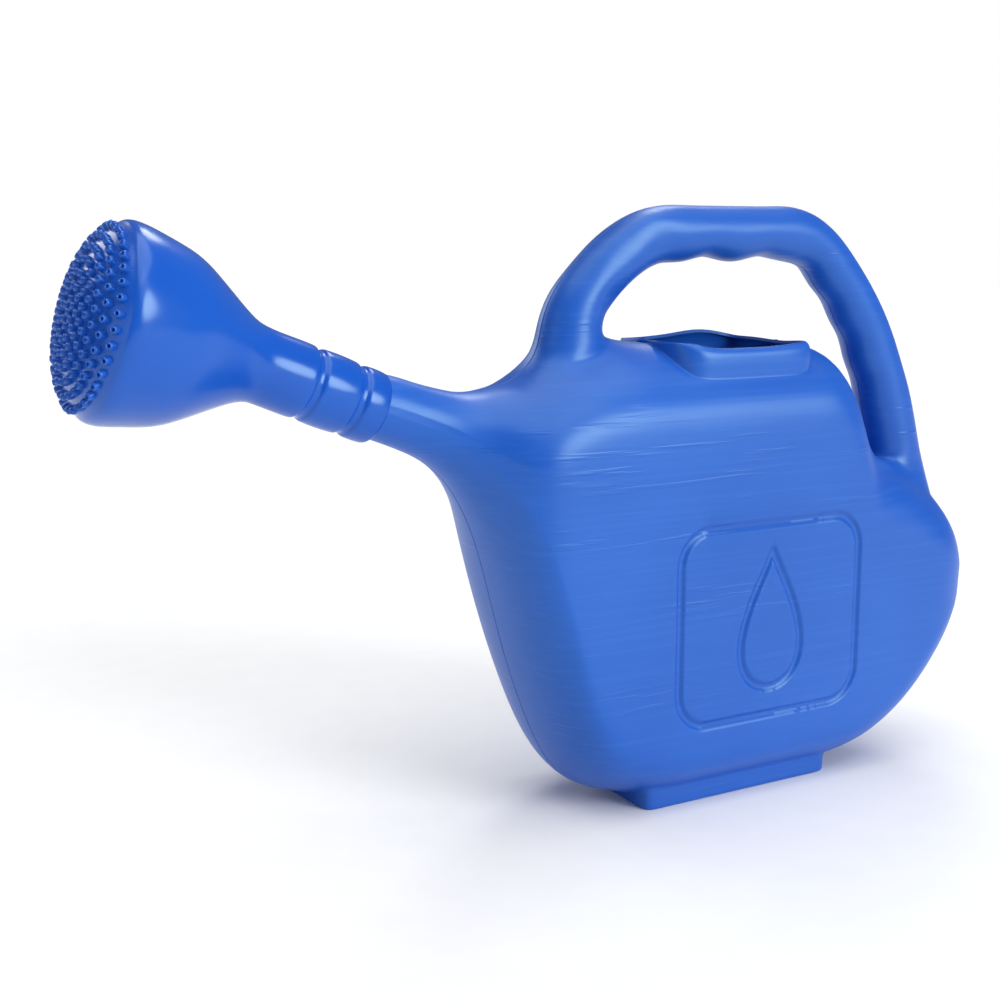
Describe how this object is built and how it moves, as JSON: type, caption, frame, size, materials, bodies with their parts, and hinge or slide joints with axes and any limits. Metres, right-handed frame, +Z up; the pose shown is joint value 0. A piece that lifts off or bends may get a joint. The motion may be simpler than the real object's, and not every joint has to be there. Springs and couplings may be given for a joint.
{
  "type": "watering can",
  "caption": "Flat-sided plastic garden watering can with an open carrying handle, trimmed filler mouth, horn spout and a pull-off sprinkler rose with a domed nozzle face.",
  "frame": {"origin": "centre of the standing foot's flat underside", "axes": "+Z up, spout and rose towards -X, rear of the tank towards +X, the two flat sides face -Y and +Y"},
  "size_m": [0.5531, 0.1, 0.3376],
  "materials": {
    "can_plastic": "satin blow-moulded polyethylene, medium blue, with faint horizontal flow lines",
    "rose_vinyl": "glossy soft vinyl in the same blue"
  },
  "bodies": {
    "can": {"tank_shell": "can_plastic", "filler_collar": "can_plastic", "carry_handle": "can_plastic", "spout": "can_plastic", "standing_foot": "can_plastic"},
    "rose": {"rose_neck": "rose_vinyl", "rose_bell": "rose_vinyl", "rose_face": "rose_vinyl", "rose_nozzles": "rose_vinyl"}
  },
  "joints": [
    {"name": "rose_pull", "type": "slide", "parent": "can", "child": "rose", "axis": [-0.9272, 0, 0.3746], "range_m": [0, 0.06]}
  ]
}
